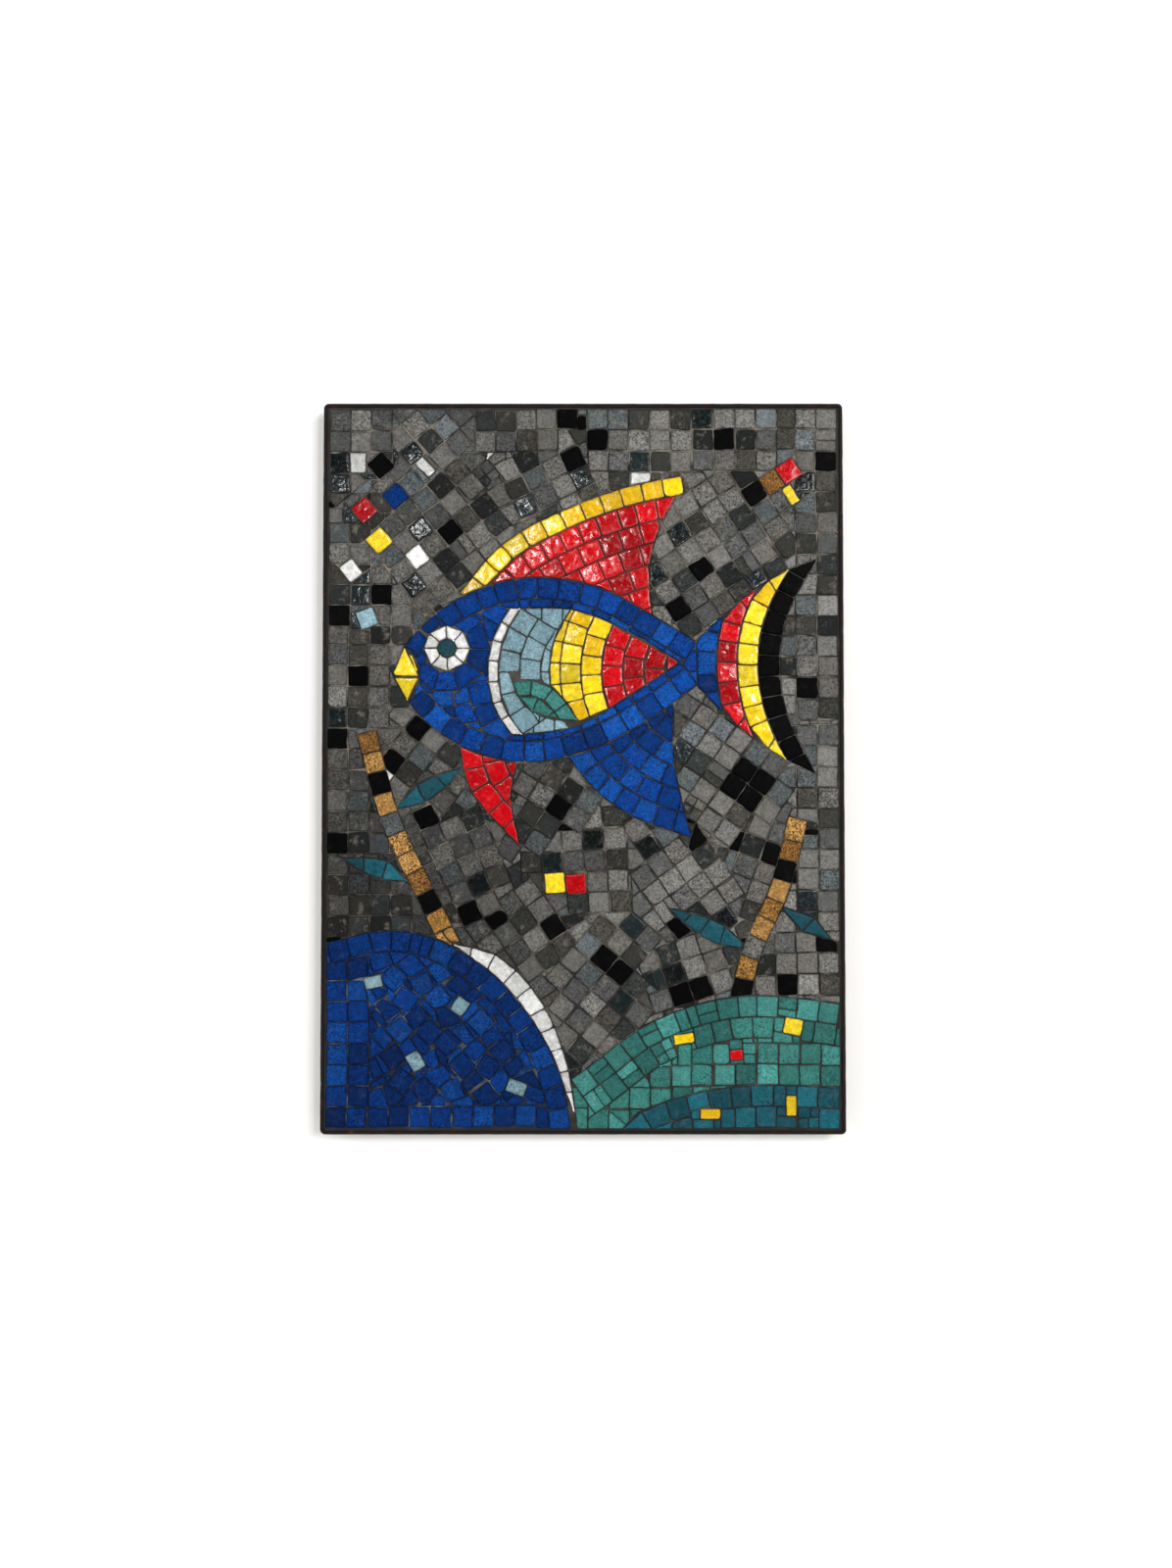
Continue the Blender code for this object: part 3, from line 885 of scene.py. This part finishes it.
def paleness(places):
    """How pale and full the joints are at each place, from 0, dark with dirt and painted shade and raked out,
    to 1, pale and flush.
    """
    x, z = places.real, places.imag
    broad = np.array([waves(place, 60, 1.5) for place in places])
    fine = np.array([waves(place, 10, 8.5) for place in places])
    upper_left = 0.5 + 0.5 * np.tanh((z - x * 0.4 - 60) / 110)
    blue_rock = FIELDS["blue_rock"].holds(places)
    rim = np.maximum(np.abs(x) - FIELD.x, np.abs(z) - FIELD.z) > -1
    pale = np.clip(0.2 + 0.35 * upper_left + 0.6 * broad + 1.1 * fine - 0.15 * blue_rock, 0, 1)
    in_figure = ~(FIELDS[GROUND].holds(places) | blue_rock)
    return pale * np.where(rim, 0.15, 1) * np.where(in_figure, 0.35, 1)


def trowelled(place):
    """How hollow the back of the mortar is at a place: long strokes of the trowel that bend a little."""
    x, z = place.real, place.imag
    bend = 40 * waves(place, 160, 5.5)
    stroke = noise.noise(Vector(((x + 2 * bend) / 120, (z + bend + 0.3 * x) / 9, 6.5)))
    return 0.7 * stroke + 0.6 * waves(place, 70, 7.5)


def make_mortar():
    """The mortar bed, with its joints pointed unevenly in front and a trowelled back."""
    bm = bmesh.new()
    tone = bm.verts.layers.float_color.new("tone")
    columns = round(2 * BAND_INSIDE.x / MORTAR_CELL)
    rows = round(2 * BAND_INSIDE.z / MORTAR_CELL)
    bmesh.ops.create_grid(bm, x_segments=columns, y_segments=rows, size=1)
    bmesh.ops.rotate(bm, verts=bm.verts, matrix=Matrix.Rotation(-math.pi / 2, 3, "X"))
    bmesh.ops.scale(bm, verts=bm.verts, vec=(BAND_INSIDE.x, 1, BAND_INSIDE.z))
    back = list(bm.verts)
    _, front = extruded(bm, bm.faces[:])
    in_ground = [linear(colour) for colour in (MORTAR_DIRT_AND_SHADE, MORTAR_SANDY)]
    in_rock = [linear(colour) for colour in (MORTAR_BLUISH_DIRT_AND_SHADE, MORTAR_GREY)]
    places = np.array([complex(vert.co.x, vert.co.z) for vert in front])
    dusted = FIELDS["blue_rock"].holds(places)
    for vert, place, pale, blue in zip(front, places, paleness(places), dusted):
        ends = in_rock if blue else in_ground
        # Dark where the joints are raked out, as dirt and painted shade, and pale where they are full.
        vert[tone] = (*(a + (b - a) * pale for a, b in zip(*ends)), 1)
        vert.co.y = -(GLASS_FRONT - RAKED + FULLER * pale + JOINT_RIPPLE * waves(place, 7, 2.2))
    for vert in back:
        hollow = trowelled(complex(vert.co.x, vert.co.z))
        # Painted shade: the back is darker where it is more hollow, in the trowel strokes.
        vert[tone] = (*(channel * (1 - 0.45 * hollow) for channel in linear(MORTAR_BACK)), 1)
        vert.co.y = -max(BACK_HOLLOW * (1 + hollow), 0.05)
    bmesh.ops.recalc_face_normals(bm, faces=bm.faces)
    piece = solid("mortar", bm, MORTAR, sharp=60)
    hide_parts("mortar_bed")


def band_outline(radius):
    """One face of the bar as an outline, with corners of this radius about the same centres."""
    corners = []
    for across, up, start in ((1, -1, -90), (1, 1, 0), (-1, 1, 90), (-1, -1, 180)):
        centre = complex(across * (HIGH.x - BAND_RADIUS), up * (HIGH.z - BAND_RADIUS))
        corners += [centre + radius * turned(start + 90 * i / BAND_STEPS) for i in range(BAND_STEPS + 1)]
    outline = []
    for a, b in edges(corners):
        parts = max(round(abs(b - a) / BAND_CELL), 1)
        outline += [a + (b - a) * i / parts for i in range(parts)]
    return outline


def make_band():
    """The flat bar bent round the panel, with its edges rusted uneven."""
    bm = bmesh.new()
    for radius in (BAND_RADIUS, BAND_RADIUS - HIGH.x + BAND_INSIDE.x):
        ring = [bm.verts.new((p.real, HIGH.y, p.imag)) for p in band_outline(radius)]
        for here, after in zip(ring, ring[1:] + ring[:1]):
            bm.edges.new((here, after))
    bmesh.ops.bridge_loops(bm, edges=bm.edges[:])
    _, front = extruded(bm, bm.faces[:])
    bmesh.ops.translate(bm, verts=front, vec=(0, LOW.y - HIGH.y, 0))
    bmesh.ops.recalc_face_normals(bm, faces=bm.faces)
    lengthwise = [edge for edge in bm.edges if edge.calc_face_angle(0) > math.radians(60)]
    bmesh.ops.bevel(
        bm, geom=lengthwise, offset=BAND_BEVEL, segments=2, profile=0.5, affect="EDGES", material=-1,
    )
    half_depth = (HIGH.y - LOW.y) / 2
    across = [edge for edge in bm.edges if abs(edge.verts[0].co.y - edge.verts[1].co.y) > half_depth]
    bmesh.ops.subdivide_edges(bm, edges=across, cuts=4)
    shifts = (Vector((0, 0, 0)), Vector((9, 0, 0)), Vector((0, 9, 0)))
    for vert in bm.verts:
        rust = Vector([value / RUST_CELL for value in vert.co])
        moved = vert.co + Vector([noise.noise(rust + shift) for shift in shifts]) * RUST_PUSH
        vert.co = [min(max(value, low), high) for value, low, high in zip(moved, LOW, HIGH)]
    bmesh.ops.recalc_face_normals(bm, faces=bm.faces)
    piece = solid("band", bm, RUSTED_STEEL, sharp=50)
    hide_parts("edge_band")


# Materials. In a MapRange, input 0 is mapped from the range 1 to 2 to the range 3 to 4.

# The range that most of a noise keeps to.
OF_NOISE = {1: 0.3, 2: 0.7}
GLASS_IOR = 1.52
PIT_DEPTH = 0.15 * MM
SMEAR_MM = 8
GRIME_AND_SHADE_MM = 2.5
# Sand of 0.3 to 0.8 mm, drawn at 0.8 mm so that it shows, and the stains in it.
SAND_MM = 0.8
STAIN_MM = 14
SAND_DEPTH = 0.35 * MM
# Rust grains of 0.2 mm and up, drawn at 0.7 mm so that they show, and the blooms of rust.
RUST_GRAIN_MM = 0.7
BLOOM_MM = 9
RUST_DEPTH = 0.3 * MM
RUST_COLOURS = ((0.4, "#0c0908"), (0.78, "#66391e"), (0.54, "#170f0c"), (0.66, "#331c12"))


def linear(colour):
    """A colour given as sRGB hex, turned to linear red, green and blue."""
    channels = [int(colour[i : i + 2], 16) / 255 for i in (1, 3, 5)]
    return [c / 12.92 if c <= 0.04045 else ((c + 0.055) / 1.055) ** 2.4 for c in channels]


def material(name):
    """An empty material, with its nodes and its shader."""
    made = bpy.data.materials.new(name)
    made.use_nodes = True
    made.node_tree.nodes.clear()
    output = add(made, "OutputMaterial")
    shader = add(made, "BsdfPrincipled")
    made.node_tree.links.new(shader.outputs["BSDF"], output.inputs["Surface"])
    return made, shader


def add(made, node_type, inputs=None, **settings):
    """Adds a node to a material, with its settings, and its inputs set or linked by name or number."""
    node = made.node_tree.nodes.new("ShaderNode" + node_type)
    for setting, value in settings.items():
        setattr(node, setting, value)
    for socket, value in (inputs or {}).items():
        if isinstance(value, bpy.types.NodeSocket):
            made.node_tree.links.new(value, node.inputs[socket])
        else:
            node.inputs[socket].default_value = value
    return node


def link(made, output, socket):
    made.node_tree.links.new(output, socket)


def per_mm(size):
    """The scale of a pattern whose features are a size in millimetres."""
    return 1 / (size * MM)


def glass_material(name):
    """Opaque mosaic glass, cast in sheets or moulds: each tessera's own tone, a grain, pits and waves.

    The eye gets a matt, sugary face with dark pinholes from the devitrified glasses, and a wet, rippled one
    with hard glints from the fire-polished ones. Grime and painted shade darken the arrises where they meet
    the joints, and mortar smears cross them.
    """
    glass = GLASSES[name]
    made, shader = material(glass["finish"])
    tone = add(made, "Attribute", attribute_name="tone").outputs["Color"]
    rim = add(made, "Attribute", attribute_name="rim").outputs["Fac"]
    shift = add(made, "Attribute", attribute_name="shift").outputs["Vector"]
    whole = add(made, "TexCoord").outputs["Object"]
    place = add(made, "VectorMath", {0: whole, 1: shift}, operation="ADD").outputs["Vector"]
    grain = add(
        made, "TexNoise",
        {"Vector": place, "Scale": per_mm(glass["grain_mm"]), "Detail": 3.0, "Roughness": 0.65},
    ).outputs["Fac"]
    cloud = add(
        made, "TexNoise",
        {"Vector": place, "Scale": per_mm(glass["cloud_mm"]), "Detail": 2.0, "Distortion": 0.8},
    ).outputs["Fac"]
    own = add(made, "SeparateXYZ", {0: shift}).outputs
    much = add(made, "MapRange", {0: own["Y"], 3: 0.4 * glass["grain"], 4: 1.5 * glass["grain"]}).outputs[0]
    grain_light = add(made, "MapRange", {0: grain, **OF_NOISE, 3: -1.0, 4: 1.0}).outputs[0]
    grain_light = add(made, "Math", {0: grain_light, 1: much, 2: 1.0}, operation="MULTIPLY_ADD").outputs[0]
    cloud_light = add(
        made, "MapRange", {0: cloud, **OF_NOISE, 3: 1 - glass["cloud"], 4: 1 + glass["cloud"]}
    ).outputs[0]
    light = add(made, "Math", {0: grain_light, 1: cloud_light}, operation="MULTIPLY").outputs[0]
    pits = add(made, "TexVoronoi", {"Vector": place, "Scale": per_mm(glass["pit_mm"])}).outputs["Distance"]
    pits = add(made, "MapRange", {0: pits, 1: 0.16, 2: 0.32, 3: 1.0, 4: 0.0}).outputs[0]
    some = add(made, "MapRange", {0: own["X"], 1: 0.35, 2: 0.9, 3: 0.0, 4: glass["pits"]}).outputs[0]
    pits = add(made, "Math", {0: pits, 1: some}, operation="MULTIPLY").outputs[0]
    pitted = add(made, "MapRange", {0: pits, 3: 1.0, 4: 0.25}).outputs[0]
    light = add(made, "Math", {0: light, 1: pitted}, operation="MULTIPLY").outputs[0]
    colour = add(made, "VectorMath", {0: tone, "Scale": light}, operation="SCALE").outputs["Vector"]
    smear = add(
        made, "TexNoise", {"Vector": whole, "Scale": per_mm(SMEAR_MM), "Detail": 4.0, "Roughness": 0.62}
    ).outputs["Fac"]
    smear = add(made, "MapRange", {0: smear, 1: 0.56, 2: 0.74, 3: 0.0, 4: glass["smear"]}).outputs[0]
    colour = add(
        made, "Mix", {"Factor": smear, 6: colour, 7: (*linear(MORTAR_SMEAR), 1)}, data_type="RGBA"
    ).outputs[2]
    # Grime and painted shade: the rim darkens each tessera towards its arrises, as shade falls into the
    # joints, and blotches of dirt lie over it.
    grime = add(made, "TexNoise", {"Vector": place, "Scale": per_mm(GRIME_AND_SHADE_MM), "Detail": 4.0}).outputs["Fac"]
    grime = add(made, "Math", {0: grime, 1: rim}, operation="ADD").outputs[0]
    grime = add(made, "MapRange", {0: grime, 1: 0.6, 2: 1.3, 3: 0.0, 4: glass["grime"]}).outputs[0]
    grimed_and_shaded = add(
        made, "Mix", {"Factor": grime, 6: colour, 7: (*linear(glass["dirt"]), 1)}, data_type="RGBA"
    ).outputs[2]
    link(made, grimed_and_shaded, shader.inputs["Base Color"])
    low, high = glass["roughness"]
    rough = add(made, "MapRange", {0: cloud, **OF_NOISE, 3: low, 4: high}).outputs[0]
    rough = add(made, "Math", {0: rough, 1: grime}, operation="ADD", use_clamp=True).outputs[0]
    link(made, rough, shader.inputs["Roughness"])
    shader.inputs["IOR"].default_value = GLASS_IOR
    shader.inputs["Specular IOR Level"].default_value = glass["specular"]
    wave = add(
        made, "TexNoise",
        {"Vector": place, "Scale": per_mm(glass["ripple_mm"]), "Detail": 0.6, "Distortion": glass["twist"]},
    ).outputs["Fac"]
    wave = add(made, "Math", {0: wave, 1: glass["ripple"] * MM}, operation="MULTIPLY").outputs[0]
    tooth = add(made, "Math", {0: grain, 1: glass["tooth"] * MM}, operation="MULTIPLY").outputs[0]
    height = add(made, "Math", {0: wave, 1: tooth}, operation="ADD").outputs[0]
    holes = add(made, "Math", {0: pits, 1: PIT_DEPTH}, operation="MULTIPLY").outputs[0]
    height = add(made, "Math", {0: height, 1: holes}, operation="SUBTRACT").outputs[0]
    bump = add(made, "Bump", {"Height": height, "Distance": 1.0}).outputs["Normal"]
    link(made, bump, shader.inputs["Normal"])
    return made


def mortar_material():
    """Sand and cement mortar, pointed and left rough: a dry, sandy face with pale and dark grains."""
    made, shader = material("pointed_mortar")
    place = add(made, "TexCoord").outputs["Object"]
    tone = add(made, "Attribute", attribute_name="tone").outputs["Color"]
    sand = add(
        made, "TexNoise", {"Vector": place, "Scale": per_mm(SAND_MM), "Detail": 3.0, "Roughness": 0.7}
    ).outputs["Fac"]
    stain = add(made, "TexNoise", {"Vector": place, "Scale": per_mm(STAIN_MM), "Detail": 4.0}).outputs["Fac"]
    sandy = add(made, "MapRange", {0: sand, **OF_NOISE, 3: 0.62, 4: 1.4}).outputs[0]
    stained = add(made, "MapRange", {0: stain, **OF_NOISE, 3: 0.75, 4: 1.2}).outputs[0]
    light = add(made, "Math", {0: sandy, 1: stained}, operation="MULTIPLY").outputs[0]
    colour = add(made, "VectorMath", {0: tone, "Scale": light}, operation="SCALE").outputs["Vector"]
    link(made, colour, shader.inputs["Base Color"])
    shader.inputs["Roughness"].default_value = 0.92
    height = add(made, "Math", {0: sand, 1: SAND_DEPTH}, operation="MULTIPLY").outputs[0]
    bump = add(made, "Bump", {"Height": height, "Distance": 1.0}).outputs["Normal"]
    link(made, bump, shader.inputs["Normal"])
    return made


def rust_material():
    """Mild steel flat bar, rusted through its mill scale: nearly black, with brown and orange blooms."""
    made, shader = material("rusted_mild_steel")
    place = add(made, "TexCoord").outputs["Object"]
    bloom = add(
        made, "TexNoise", {"Vector": place, "Scale": per_mm(BLOOM_MM), "Detail": 6.0, "Roughness": 0.65}
    ).outputs["Fac"]
    ramp = add(made, "ValToRGB", {"Fac": bloom})
    stops = ramp.color_ramp.elements
    stops[0].position, stops[1].position = (position for position, _ in RUST_COLOURS[:2])
    for position, _ in RUST_COLOURS[2:]:
        stops.new(position)
    for stop, (_, colour) in zip(stops, sorted(RUST_COLOURS)):
        stop.color = (*linear(colour), 1)
    link(made, ramp.outputs["Color"], shader.inputs["Base Color"])
    grains = add(
        made, "TexNoise", {"Vector": place, "Scale": per_mm(RUST_GRAIN_MM), "Detail": 4.0, "Roughness": 0.7}
    ).outputs["Fac"]
    rough = add(made, "MapRange", {0: bloom, 1: 0.35, 2: 0.6, 3: 0.55, 4: 0.9}).outputs[0]
    link(made, rough, shader.inputs["Roughness"])
    shader.inputs["Specular IOR Level"].default_value = 0.2
    height = add(made, "Math", {0: grains, 1: RUST_DEPTH}, operation="MULTIPLY").outputs[0]
    bump = add(made, "Bump", {"Height": height, "Distance": 1.0}).outputs["Normal"]
    link(made, bump, shader.inputs["Normal"])
    return made


GLASS_MATERIALS = {name: glass_material(name) for name in GLASSES}
MORTAR = mortar_material()
RUSTED_STEEL = rust_material()
for name in GLASSES:
    make_glass(name)
make_mortar()
make_band()


# Stage, lights and camera, in metres, degrees and watts.

CAMERA_ANGLE = 67.0
CAMERA_PITCH = 1.4
CAMERA_PLACE = (0.0029, -1.2, -0.0464)
# The wall is open where the panel hides it, and the first light, behind it, shows the back of the panel.
WALL_OPENING = (0.258, 0.362)
# Each light's name, size, power, place and target.
LIGHTS = (
    ("behind", (0.9, 0.9), 80, (1.9, 1.9, 1.0), (0, 0, 0)),
    ("key", (1.6, 1.6), 90, (1.9, -2.9, 0.9), (0, 0, 0)),
    ("fill_left", (1.6, 2.2), 55, (-2.7, -1.9, 0.7), (0, 0, 0)),
    ("window", (0.16, 0.3), 9, (-0.3, -2.2, 0.7), (0, 0, 0.1)),
    ("lamp", (0.15, 0.15), 5, (0.75, -2.2, 0.35), (0, 0, 0.1)),
)
WORLD_STRENGTH = 0.12


def make_sheet(name, width, height, place, turn, colour, opening=None):
    """A flat sheet of the stage in matt paint, with an opening about the origin where one is given."""
    bm = bmesh.new()
    bmesh.ops.create_grid(bm, x_segments=3, y_segments=3, size=0.5)
    bmesh.ops.scale(bm, verts=bm.verts, vec=(width, height, 1))
    bmesh.ops.rotate(bm, verts=bm.verts, matrix=Matrix.Rotation(math.radians(turn), 3, "X"))
    bmesh.ops.translate(bm, verts=bm.verts, vec=place)
    if opening:
        inner = next(face for face in bm.faces if not any(vert.is_boundary for vert in face.verts))
        for vert in inner.verts:
            vert.co.x = math.copysign(opening[0], vert.co.x)
            vert.co.z = math.copysign(opening[1], vert.co.z - place[2])
        bmesh.ops.delete(bm, geom=[inner], context="FACES")
    mesh = bpy.data.meshes.new(name)
    bm.to_mesh(mesh)
    bm.free()
    made, shader = material("matt_paint_" + name)
    shader.inputs["Base Color"].default_value = (*linear(colour), 1)
    shader.inputs["Roughness"].default_value = 0.95
    mesh.materials.append(made)
    sheet = bpy.data.objects.new(name, mesh)
    bpy.context.collection.objects.link(sheet)
    return made, shader


def one_sided(made, shader):
    """Lets the wall be seen through from behind, so that the back of the panel can be looked at."""
    behind = add(made, "NewGeometry").outputs["Backfacing"]
    clear = add(made, "BsdfTransparent").outputs["BSDF"]
    mixed = add(made, "MixShader", {0: behind, 1: shader.outputs["BSDF"], 2: clear}).outputs["Shader"]
    output = next(node for node in made.node_tree.nodes if node.type == "OUTPUT_MATERIAL")
    link(made, mixed, output.inputs["Surface"])


def add_light(name, size, power, place, target):
    """A white rectangular light that faces its target."""
    data = bpy.data.lights.new(name, "AREA")
    data.shape = "RECTANGLE"
    data.size, data.size_y = size
    data.energy = power
    light = bpy.data.objects.new(name, data)
    light.location = place
    light.rotation_euler = (Vector(target) - Vector(place)).to_track_quat("-Z", "Y").to_euler()
    bpy.context.collection.objects.link(light)


def set_camera():
    data = bpy.data.cameras.new("camera")
    data.sensor_fit = "VERTICAL"
    data.angle_y = math.radians(CAMERA_ANGLE)
    data.clip_start = 0.01
    camera = bpy.data.objects.new("camera", data)
    camera.location = CAMERA_PLACE
    camera.rotation_euler = (math.radians(90 + CAMERA_PITCH), 0, 0)
    bpy.context.collection.objects.link(camera)
    bpy.context.scene.camera = camera


def set_world():
    world = bpy.data.worlds.new("studio")
    world.use_nodes = True
    background = world.node_tree.nodes["Background"]
    background.inputs["Color"].default_value = (1, 1, 1, 1)
    background.inputs["Strength"].default_value = WORLD_STRENGTH
    bpy.context.scene.world = world


one_sided(*make_sheet("wall", 6.0, 4.0, (0, 0.001, 0.8), 90, "#f4f3f1", WALL_OPENING))
make_sheet("floor", 6.0, 6.0, (0, -2.0, -1.2), 0, "#dcdad6")
for light in LIGHTS:
    add_light(*light)
set_world()
set_camera()
bpy.context.scene.view_settings.view_transform = "Standard"
